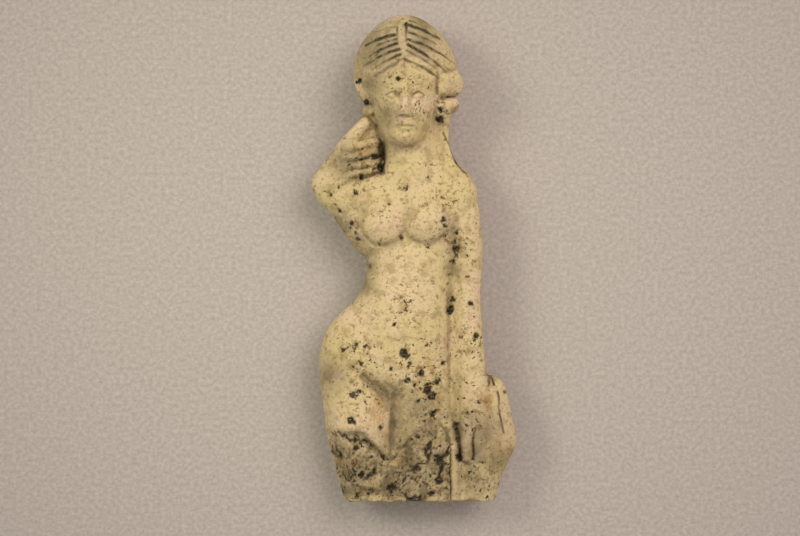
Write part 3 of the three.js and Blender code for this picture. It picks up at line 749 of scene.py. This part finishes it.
# Places where dark specks crowd together.
SPECKLED = (
    (2.0, -31.0, 7.5), (-14.0, -25.0, 5.5), (5.0, -40.0, 6.0), (-14.5, -48.0, 4.0), (-13.5, -56.5, 4.0),
    (14.5, -22.0, 4.5), (11.0, 4.0, 5.0), (6.5, -57.0, 4.0), (-3.5, -12.0, 4.0), (-3.0, 44.5, 4.0),
    (1.0, 38.0, 3.0), (15.0, -42.0, 5.0), (-14.0, 24.0, 6.0), (9.0, 15.0, 4.0), (-13.0, -35.0, 5.0),
    (7.6, 38.6, 3.0), (18.0, -57.0, 6.0), (-16.6, 8.0, 3.0), (-8.0, 11.8, 2.0),
)
# Places where soil sits in every crease.
CAKED = (
    (-8.8, 25.0, 3.6), (-13.0, 25.0, 3.0), (-12.2, 40.4, 1.8), (6.4, 36.0, 1.6), (11.0, 41.6, 1.2),
    (12.0, -50.0, 3.0), (9.4, -55.0, 3.0), (20.0, -33.0, 2.2), (-1.0, -57.0, 7.0), (-15.0, -55.0, 5.0),
)
# Places painted a shade darker all over: partly soil stains, partly painted shade in the valleys, under the
# raised arm, beside the left arm, on the drapery and down the left side of the figure.
STAINED_AND_SHADED = (
    (-9.5, 53.5, 7.5), (2.0, 55.0, 4.0), (2.5, 61.5, 3.5), (-19.0, 10.0, 3.0), (-21.5, -30.0, 4.0),
    (-6.8, 36.5, 3.0), (-11.5, -2.0, 2.5), (2.5, -38.5, 5.0), (18.0, -45.0, 6.0), (21.0, -52.0, 5.0),
    (-17.5, 25.0, 5.0), (-9.0, 27.0, 3.0), (0.0, -56.0, 9.0), (1.0, -47.0, 5.0), (-14.0, -55.0, 8.0),
    (10.4, -3.0, 2.4), (11.0, 3.0, 2.4), (15.6, -50.0, 5.0), (15.0, -57.5, 5.0), (11.8, -45.0, 3.4),
    (-5.2, -35.5, 2.8), (-4.6, -39.0, 2.6), (-4.6, -43.0, 2.6), (-4.8, -47.5, 2.8), (-11.0, 45.0, 4.0),
    (-13.0, -7.0, 3.0), (-17.0, 8.5, 2.6), (-14.6, 4.5, 2.6), (-12.6, 1.0, 2.6), (-12.4, 40.6, 3.0),
)


def around(x, y, places):
    """1 at the middle of any of the places, falling to 0 past its radius."""
    cover = np.zeros_like(x)
    for px, py, radius in places:
        cover = np.maximum(cover, np.exp(-(((x - px) ** 2 + (y - py) ** 2) / radius**2)))
    return cover


# How often the surface is smoothed, to find narrow creases, which take soil, and wide hollows, which take
# painted shade, by what lies below it.
CREASE_ROUNDS = 3
HOLLOW_ROUNDS = 60


def marks_of_age(rings, skin_rows):
    """How much soil, grey wash, rust and specks each point holds, with painted shade in wide hollows,
    creases and valleys, and where small pits may be.
    """
    x, y, z = rings[..., 0], rings[..., 1], rings[..., 2]
    front = step(SEAM - 1, SEAM + 1, z)
    front_and_sides = step(SEAM - 7, SEAM - 2, z)
    flaked = step(-0.2, 0.8, flaked_edge(x, y)) * front_and_sides

    creases = step(0.02, 0.08, concavity(rings, CREASE_ROUNDS))
    # Groove soil is partly painted shade, in the belly crease, the leg valley, beside the left arm, under
    # the flaked edge and under the breasts.
    _, groove_soil_and_shade = scored(x, y)
    soil = np.maximum(creases * (0.12 + 0.88 * around(x, y, CAKED)), groove_soil_and_shade * front)
    soil = np.maximum(soil, 0.9 * step(0.1, 0.65, strands(x, y)) * front * step(46, 49, y))
    soil = np.maximum(soil, step(0.1, 0.4, pitted(x, y)) * front)
    soil = np.maximum(soil, cracks(x, y) * flaked)

    # Painted shade: wide hollows are darkened, and so are the listed stained and shaded places, which are
    # partly real soil stains.
    hollows = step(0.05, 0.45, concavity(rings, HOLLOW_ROUNDS))
    grime = np.maximum(0.35 * hollows, 0.8 * around(x, y, STAINED_AND_SHADED) * front_and_sides)
    flake_soil = 0.62 + 0.6 * rough(x, y, 2.4, 97, 3)
    grime = np.maximum(grime, flake_soil * flaked)

    on_skin = (np.arange(len(rings)) < skin_rows)[:, None]
    return {
        "soil": np.clip(soil, 0, 1),
        "grime": np.clip(grime, 0, 1),
        "rust": around(x, y, RUST) * front,
        "speckled": np.maximum(around(x, y, SPECKLED) * front, 0.8 * flaked) + 0.25 * (1 - front),
        "clear": step(0.0, 1.0, z) * on_skin,
    }


def add_attribute(mesh, name, values):
    """Stores one number for each point, for the materials to read."""
    attribute = mesh.attributes.new(name, "FLOAT", "POINT")
    attribute.data.foreach_set("value", values.astype(np.float32))


# What a node does, for its settings.
MULTIPLY = {"operation": "MULTIPLY"}
MULTIPLY_ADD = {"operation": "MULTIPLY_ADD"}
DIVIDE = {"operation": "DIVIDE"}
SUBTRACT = {"operation": "SUBTRACT"}
ADD = {"operation": "ADD"}
SCALE = {"operation": "SCALE"}
MAXIMUM = {"operation": "MAXIMUM"}
SMOOTH = {"interpolation_type": "SMOOTHSTEP"}
WITH_SEED = {"noise_dimensions": "4D"}
NUMBERS = {"data_type": "FLOAT"}

WEATHERING_SEED = 7


def add_node(tree, kind, settings=None, **inputs):
    """Adds a node, sets its properties and fills inputs, named or numbered as i0, i1 and so on.

    An input takes a value, another node's output, or another node, which stands for its first output.
    """
    node = tree.nodes.new(kind)
    for name, value in (settings or {}).items():
        setattr(node, name, value)
    for key, value in inputs.items():
        numbered = key[0] == "i" and key[1:].isdigit()
        socket = node.inputs[int(key[1:]) if numbered else key.replace("_", " ")]
        if isinstance(value, bpy.types.Node):
            value = value.outputs[0]
        if isinstance(value, bpy.types.NodeSocket):
            tree.links.new(value, socket)
        else:
            socket.default_value = value
    return node


def linear(code):
    """An sRGB hex colour as Blender's linear one, opaque."""
    parts = [int(code[k : k + 2], 16) / 255 for k in (1, 3, 5)]
    return tuple(c / 12.92 if c <= 0.04045 else ((c + 0.055) / 1.055) ** 2.4 for c in parts) + (1.0,)


def weathering_tree(clay_material, sizes):
    """Geometry nodes that wear the skin and drop small air pits into it along its normals."""
    tree = bpy.data.node_groups.new("Weathered clay", "GeometryNodeTree")
    face = tree.interface
    face.new_socket("Geometry", in_out="INPUT", socket_type="NodeSocketGeometry")
    for name, size in sizes.items():
        face.new_socket(name, in_out="INPUT", socket_type="NodeSocketFloat").default_value = size
    face.new_socket("Seed", in_out="INPUT", socket_type="NodeSocketInt").default_value = WEATHERING_SEED
    face.new_socket("Geometry", in_out="OUTPUT", socket_type="NodeSocketGeometry")
    given = tree.nodes.new("NodeGroupInput").outputs
    place = add_node(tree, "GeometryNodeInputPosition")
    normal = add_node(tree, "GeometryNodeInputNormal")
    clear = add_node(tree, "GeometryNodeInputNamedAttribute", NUMBERS, Name="clear")

    fine = add_node(tree, "ShaderNodeMath", DIVIDE, i0=1.0, i1=given["Wear size"])
    wear = add_node(
        tree, "ShaderNodeTexNoise", WITH_SEED, Vector=place, W=given["Seed"], Scale=fine, Detail=4.0
    )
    worn = add_node(tree, "ShaderNodeMath", SUBTRACT, i0=wear, i1=0.5)
    worn = add_node(tree, "ShaderNodeMath", MULTIPLY, i0=worn, i1=given["Wear depth"])

    close = add_node(tree, "ShaderNodeMath", DIVIDE, i0=1.0, i1=given["Pit spacing"])
    middle = (0.5, 0.5, 0.5)
    shift = add_node(tree, "ShaderNodeVectorMath", SUBTRACT, i0=wear.outputs["Color"], i1=middle)
    shift = add_node(tree, "ShaderNodeVectorMath", SCALE, i0=shift, Scale=given["Wear size"])
    ragged = add_node(tree, "ShaderNodeVectorMath", ADD, i0=place, i1=shift)
    cells = add_node(
        tree, "ShaderNodeTexVoronoi", {"voronoi_dimensions": "4D"},
        Vector=ragged, W=given["Seed"], Scale=close,
    )
    chance = add_node(tree, "FunctionNodeSeparateColor", None, Color=cells.outputs["Color"])
    radius = add_node(
        tree, "ShaderNodeMapRange", None,
        Value=chance, From_Min=0.62, From_Max=1.0, To_Min=0.0, To_Max=0.3,
    )
    depth = add_node(tree, "ShaderNodeMath", SUBTRACT, i0=radius, i1=cells.outputs["Distance"])
    pit = add_node(
        tree, "ShaderNodeMapRange", SMOOTH,
        Value=depth, From_Min=0.0, From_Max=0.12, To_Min=0.0, To_Max=1.0,
    )
    pit = add_node(tree, "ShaderNodeMath", MULTIPLY, i0=pit, i1=clear)

    sunk = add_node(tree, "ShaderNodeMath", MULTIPLY, i0=pit, i1=given["Pit depth"])
    moved = add_node(tree, "ShaderNodeMath", SUBTRACT, i0=worn, i1=sunk)
    moved = add_node(tree, "ShaderNodeMath", MULTIPLY, i0=moved, i1=clear)
    offset = add_node(tree, "ShaderNodeVectorMath", SCALE, i0=normal, Scale=moved)
    stored = add_node(
        tree, "GeometryNodeStoreNamedAttribute", {**NUMBERS, "domain": "POINT"},
        Geometry=given["Geometry"], Name="small_pits", Value=pit,
    )
    shaped = add_node(tree, "GeometryNodeSetPosition", None, Geometry=stored, Offset=offset)
    real = add_node(tree, "GeometryNodeRealizeInstances", None, Geometry=shaped)
    dressed = add_node(tree, "GeometryNodeSetMaterial", None, Geometry=real, Material=clay_material)
    add_node(tree, "NodeGroupOutput", None, Geometry=dressed)
    return tree


def set_inputs(modifier, values):
    """Sets a geometry nodes modifier's inputs by their sockets' identifiers."""
    for item in modifier.node_group.interface.items_tree:
        if item.in_out == "INPUT" and item.name in values:
            modifier[item.identifier] = values[item.name]


def made_plain(piece, name):
    """The piece with its modifiers turned into a plain mesh of its own."""
    seen = piece.evaluated_get(bpy.context.evaluated_depsgraph_get())
    mesh = bpy.data.meshes.new_from_object(seen)
    piece.modifiers.clear()
    before = piece.data
    piece.data = mesh
    bpy.data.meshes.remove(before)
    mesh.name = name


# Grit in the clay and mottle on the paper, in millimetres. Both are finer in truth, and are drawn as
# coarse as they need to be to show.
GRIT = 0.5
GRIT_HEIGHT = 0.26
PAPER_MOTTLE = 1.1
CLAY_IOR = 1.5
CLAY_SHEEN = 0.3

# Layers of colour over the clay: colour, size of its patches in millimetres, where in their noise they
# start and are full, strength, and the attribute that bounds them or, with a lift, crowds them together.
# Firing leaves the clay in warm and cool clouds, handling yellows it, and soil lodges where it is rough.
# The grey wash layer also paints shade into wide hollows and shaded places.
CLAY_LAYERS = (
    ("straw", 14.0, 0.4, 0.6, 0.9, None, 0),
    ("blush", 9.0, 0.5, 0.7, 0.9, None, 0),
    ("stain", 3.2, 0.48, 0.66, 0.6, None, 0),
    ("stain", 0.9, 0.5, 0.72, 0.75, None, 0),
    ("rust", 2.6, 0.36, 0.68, 0.7, "rust", 0),
    # grey soil wash, and painted shade in wide hollows and shaded places
    ("grime", 2.2, 0.1, 0.52, 0.9, "grime", 0),
    ("umber", 1.8, 0.56, 0.74, 0.75, "speckled", 0.08),
    ("umber", 0.7, 0.61, 0.7, 0.85, "speckled", 0.05),
    ("soil", 2.4, 0.67, 0.71, 0.9, "speckled", 0.07),
    ("soil", 1.3, 0.67, 0.71, 0.9, "speckled", 0.08),
    ("soil", 0.7, 0.7, 0.76, 0.85, "speckled", 0.07),
    ("umber", 0.8, 0.2, 0.6, 0.8, "small_pits", 0),
    # dark soil in pits and grooves, and painted shade in the creases, valleys and under the breasts
    ("soil", 0.7, 0.22, 0.52, 1.0, "soil", 0),
)


def layer(tree, place, under, tint, size, start, full, strength, bound, lift):
    """Lays a colour in ragged patches over what is there, and gives the new colour and its cover."""
    noise = add_node(
        tree, "ShaderNodeTexNoise", None, Vector=place, Scale=1 / (size * MM), Detail=5.0, Roughness=0.62
    )
    height, share = noise, strength
    if bound:
        bounds = add_node(tree, "ShaderNodeAttribute", {"attribute_name": bound}).outputs["Fac"]
        if lift:
            height = add_node(tree, "ShaderNodeMath", MULTIPLY_ADD, i0=bounds, i1=lift, i2=height)
        else:
            share = add_node(tree, "ShaderNodeMath", MULTIPLY, i0=bounds, i1=strength)
    cover = add_node(
        tree, "ShaderNodeMapRange", SMOOTH, Value=height, From_Min=start, From_Max=full, To_Max=share
    )
    mixed = add_node(tree, "ShaderNodeMix", {"data_type": "RGBA"}, i0=cover, i6=under, i7=tint)
    return mixed.outputs[2], cover


def new_material(name):
    """A material with its shader, and the places on the piece that its patterns read."""
    material = bpy.data.materials.new(name)
    material.use_nodes = True
    tree = material.node_tree
    place = add_node(tree, "ShaderNodeTexCoord").outputs["Object"]
    return material, tree, tree.nodes["Principled BSDF"], place


def grained(tree, place, size):
    """Noise whose coarsest grains have the given size in millimetres, with finer ones in them."""
    return add_node(
        tree, "ShaderNodeTexNoise", None, Vector=place, Scale=1 / (size * MM), Detail=6.0, Roughness=0.7
    )


def fired_pipeclay(colours):
    """Fired white clay, unglazed: matt and chalky, cream, with soil left in its pits and grooves and
    painted shade in its hollows and creases.
    """
    material, tree, shader, place = new_material("Fired pipeclay")
    colour, dark = tuple(colours.cream), 0.0
    for tint, *rest in CLAY_LAYERS:
        colour, cover = layer(tree, place, colour, tuple(getattr(colours, tint)), *rest)
        if tint == "soil":
            dark = add_node(tree, "ShaderNodeMath", MAXIMUM, i0=dark, i1=cover)
    tree.links.new(colour, shader.inputs["Base Color"])
    shader.inputs["IOR"].default_value = CLAY_IOR
    shader.inputs["Specular IOR Level"].default_value = CLAY_SHEEN
    grit = grained(tree, place, GRIT)
    matt = add_node(tree, "ShaderNodeMapRange", None, Value=grit, To_Min=0.72, To_Max=0.92)
    tree.links.new(matt.outputs[0], shader.inputs["Roughness"])
    height = add_node(tree, "ShaderNodeMath", SUBTRACT, i0=grit, i1=dark)
    bump = add_node(
        tree, "ShaderNodeBump", None, Strength=0.85, Distance=GRIT_HEIGHT * MM, Height=height
    )
    tree.links.new(bump.outputs[0], shader.inputs["Normal"])
    return material


def paper_material(colour):
    """Cotton-surfaced backing paper: matt, with a fine mottle."""
    material, tree, shader, place = new_material("Backing paper")
    mottle = grained(tree, place, PAPER_MOTTLE)
    shade = add_node(
        tree, "ShaderNodeMapRange", None,
        Value=mottle, From_Min=0.3, From_Max=0.7, To_Min=0.78, To_Max=1.18,
    )
    tint = add_node(tree, "ShaderNodeVectorMath", SCALE, i0=tuple(colour)[:3], Scale=shade)
    tree.links.new(tint.outputs[0], shader.inputs["Base Color"])
    shader.inputs["Roughness"].default_value = 0.95
    shader.inputs["Specular IOR Level"].default_value = 0.2
    return material


def count(name, description, number, least):
    """A setting that is a number of points or rings."""
    return bpy.props.IntProperty(name=name, description=description, default=number, min=least)


def length(name, description, size):
    """A setting that is a length."""
    return bpy.props.FloatProperty(name=name, description=description, default=size, unit="LENGTH")


def power(name, description, watts):
    """A setting that is the power of a light."""
    return bpy.props.FloatProperty(name=name, description=description, default=watts, unit="POWER")


def place_of(name, description, place):
    """A setting that is a place."""
    return bpy.props.FloatVectorProperty(
        name=name, description=description, subtype="TRANSLATION", size=3, default=place
    )


def tone(name, description, code):
    """A setting that is a colour, whose default is an sRGB hex colour."""
    return bpy.props.FloatVectorProperty(
        name=name, description=description, subtype="COLOR", size=4, min=0, max=1, default=linear(code)
    )


class FigurineForm(bpy.types.PropertyGroup):
    """How finely the figurine is made, and how worn it is"""

    front_steps: count("Front steps", "Points across the front", 176, 24)
    back_steps: count("Back steps", "Points across the back", 80, 12)
    skin_rows: count("Skin rows", "Rings from crown to break", 348, 60)
    break_rows: count("Break rows", "Rings over the broken edge", 10, 2)
    hollow_rows: count("Hollow rows", "Rings up the hollow", 24, 4)
    wear_depth: length("Wear depth", "Depth of the wear", 0.07 * MM)
    wear_size: length("Wear size", "Size of the worn patches", 1.1 * MM)
    pit_depth: length("Pit depth", "Depth of small pits", 0.2 * MM)
    pit_spacing: length("Pit spacing", "Spacing of small pits", 1.5 * MM)


class ClayColours(bpy.types.PropertyGroup):
    """Colours of the clay, of what time has left on it, and of its painted shade"""

    cream: tone("Cream", "Main colour of the clay", "#e0ca9c")
    straw: tone("Straw", "Yellower clay", "#dac68e")
    blush: tone("Blush", "Pinker clay", "#e8cba8")
    stain: tone("Stain", "Handled and stained clay", "#a58d5c")
    rust: tone("Rust", "Iron stain", "#b5803f")
    # The grey wash is also the colour of painted shade in wide hollows and shaded places.
    grime: tone("Grime", "Grey soil wash", "#7a6c50")
    umber: tone("Umber", "Brown soil around specks", "#7d6238")
    # Also the colour of painted shade in the creases, valleys and under the breasts.
    soil: tone("Soil", "Dark soil in pits and grooves", "#29241b")


class StageSettings(bpy.types.PropertyGroup):
    """The paper, the lights and the camera"""

    paper: tone("Paper", "Colour of the backing paper", "#c0b7ae")
    paper_size: length("Paper size", "Side of the backing paper", 3.0)
    surround: tone("Surround", "Colour of the light from all round", "#e9e6e2")
    surround_strength: bpy.props.FloatProperty(
        name="Surround strength", description="Strength of the light from all round", default=0.52
    )
    key_power: power("Key power", "Power of the main light", 0.165)
    key_size: length("Key size", "Side of the main light", 0.32)
    key_place: place_of("Key place", "Place of the main light", (0.17, 0.14, 0.36))
    key_colour: tone("Key colour", "Colour of the main light", "#fff0ec")
    fill_power: power("Fill power", "Power of the fill light", 0.07)
    fill_size: length("Fill size", "Side of the fill light", 0.16)
    fill_place: place_of("Fill place", "Place of the fill light", (-0.26, 0.12, 0.32))
    fill_colour: tone("Fill colour", "Colour of the fill light", "#f8f7e2")
    beam: bpy.props.FloatProperty(
        name="Beam", description="How wide the lights' beams spread", default=1.0, subtype="ANGLE"
    )
    lit_point: place_of("Lit point", "What the lights are aimed at", (0, 0, 0.01))
    camera_place: place_of("Camera place", "Place of the camera, which looks down", (-0.0036, -0.0024, 0.6))
    lens: bpy.props.FloatProperty(
        name="Lens", description="Focal length of the camera", default=101.6, unit="CAMERA"
    )


class FIGURINE_OT_clay(bpy.types.Operator):
    """Builds the moulded figurine, weathers it and dresses it in fired clay"""

    bl_idname = "figurine.clay"
    bl_label = "Figurine"

    def execute(self, context):
        form = context.scene.figurine_form
        rings, skin_rows = figurine_rings(
            form.front_steps, form.back_steps, form.skin_rows, form.break_rows, form.hollow_rows
        )
        steps = form.front_steps + form.back_steps
        points = np.concatenate([
            [[*CROWN, SEAM]],
            rings.reshape(-1, 3),
            [HOLLOW_END],
        ])
        middle = (points.min(0) + points.max(0)) / 2
        cad_middle = (np.array(CAD_BOX[0]) + np.array(CAD_BOX[1])) / 2
        placed = points * MM
        placed[:, :2] += cad_middle[:2] - middle[:2] * MM
        mesh = bpy.data.meshes.new("clay_figurine")
        mesh.from_pydata(placed.tolist(), [], closed_faces(len(rings), steps))
        mesh.polygons.foreach_set("use_smooth", [True] * len(mesh.polygons))
        for name, values in marks_of_age(rings, skin_rows).items():
            add_attribute(mesh, name, np.concatenate([values[0, :1], values.ravel(), values[-1, :1]]))

        piece = bpy.data.objects.new("clay_figurine", mesh)
        context.collection.objects.link(piece)
        material = fired_pipeclay(context.scene.figurine_colours)
        modifier = piece.modifiers.new("Weathering", "NODES")
        sizes = {
            "Wear depth": form.wear_depth,
            "Wear size": form.wear_size,
            "Pit depth": form.pit_depth,
            "Pit spacing": form.pit_spacing,
        }
        modifier.node_group = weathering_tree(material, sizes)
        set_inputs(modifier, sizes)
        made_plain(piece, "clay_figurine")
        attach(piece, "root")
        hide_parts("figurine")
        return {"FINISHED"}


def aim(lamp, target):
    """Turns a lamp to look at a point."""
    x, y, z = (t - p for t, p in zip(target, lamp.location))
    lamp.rotation_euler = (math.atan2(math.hypot(x, y), -z), 0, math.atan2(-x, y))


class FIGURINE_OT_stage(bpy.types.Operator):
    """Lays the paper, sets the lights and aims the camera straight down"""

    bl_idname = "figurine.stage"
    bl_label = "Stage"

    def execute(self, context):
        settings = context.scene.figurine_stage
        bpy.ops.mesh.primitive_plane_add(size=settings.paper_size)
        paper = context.object
        paper.name = "paper"
        paper.data.materials.append(paper_material(settings.paper))
        for name in LAMPS:
            light = bpy.data.lights.new(name, "AREA")
            light.energy = getattr(settings, f"{name}_power")
            light.size = getattr(settings, f"{name}_size")
            light.spread = settings.beam
            light.color = getattr(settings, f"{name}_colour")[:3]
            lamp = bpy.data.objects.new(name, light)
            lamp.location = getattr(settings, f"{name}_place")
            aim(lamp, settings.lit_point)
            context.collection.objects.link(lamp)
        world = bpy.data.worlds.new("Studio")
        world.use_nodes = True
        background = world.node_tree.nodes["Background"]
        background.inputs["Color"].default_value = settings.surround
        background.inputs["Strength"].default_value = settings.surround_strength
        context.scene.world = world
        camera = bpy.data.objects.new("camera", bpy.data.cameras.new("camera"))
        camera.data.lens = settings.lens
        camera.data.sensor_width = SENSOR_WIDTH
        camera.location = settings.camera_place
        context.collection.objects.link(camera)
        context.scene.camera = camera
        context.scene.view_settings.view_transform = "Standard"
        return {"FINISHED"}


class FIGURINE_PT_panel(bpy.types.Panel):
    """Lists the operators and the settings"""

    bl_label = "Figurine"
    bl_idname = "FIGURINE_PT_panel"
    bl_space_type = "VIEW_3D"
    bl_region_type = "UI"
    bl_category = "Figurine"

    def draw(self, context):
        for operator in OPERATORS:
            self.layout.operator(operator.bl_idname)
        scene = context.scene
        for group in (scene.figurine_form, scene.figurine_colours, scene.figurine_stage):
            box = self.layout.box()
            for name in type(group).__annotations__:
                box.prop(group, name)


OPERATORS = (FIGURINE_OT_stage, FIGURINE_OT_clay)
CLASSES = (FigurineForm, ClayColours, StageSettings, *OPERATORS, FIGURINE_PT_panel)


def register():
    for cls in CLASSES:
        bpy.utils.register_class(cls)
    bpy.types.Scene.figurine_form = bpy.props.PointerProperty(type=FigurineForm)
    bpy.types.Scene.figurine_colours = bpy.props.PointerProperty(type=ClayColours)
    bpy.types.Scene.figurine_stage = bpy.props.PointerProperty(type=StageSettings)


def unregister():
    del bpy.types.Scene.figurine_stage
    del bpy.types.Scene.figurine_colours
    del bpy.types.Scene.figurine_form
    for cls in reversed(CLASSES):
        bpy.utils.unregister_class(cls)


def main():
    register()
    bpy.ops.figurine.stage()
    bpy.ops.figurine.clay()


if __name__ == "__main__":
    main()
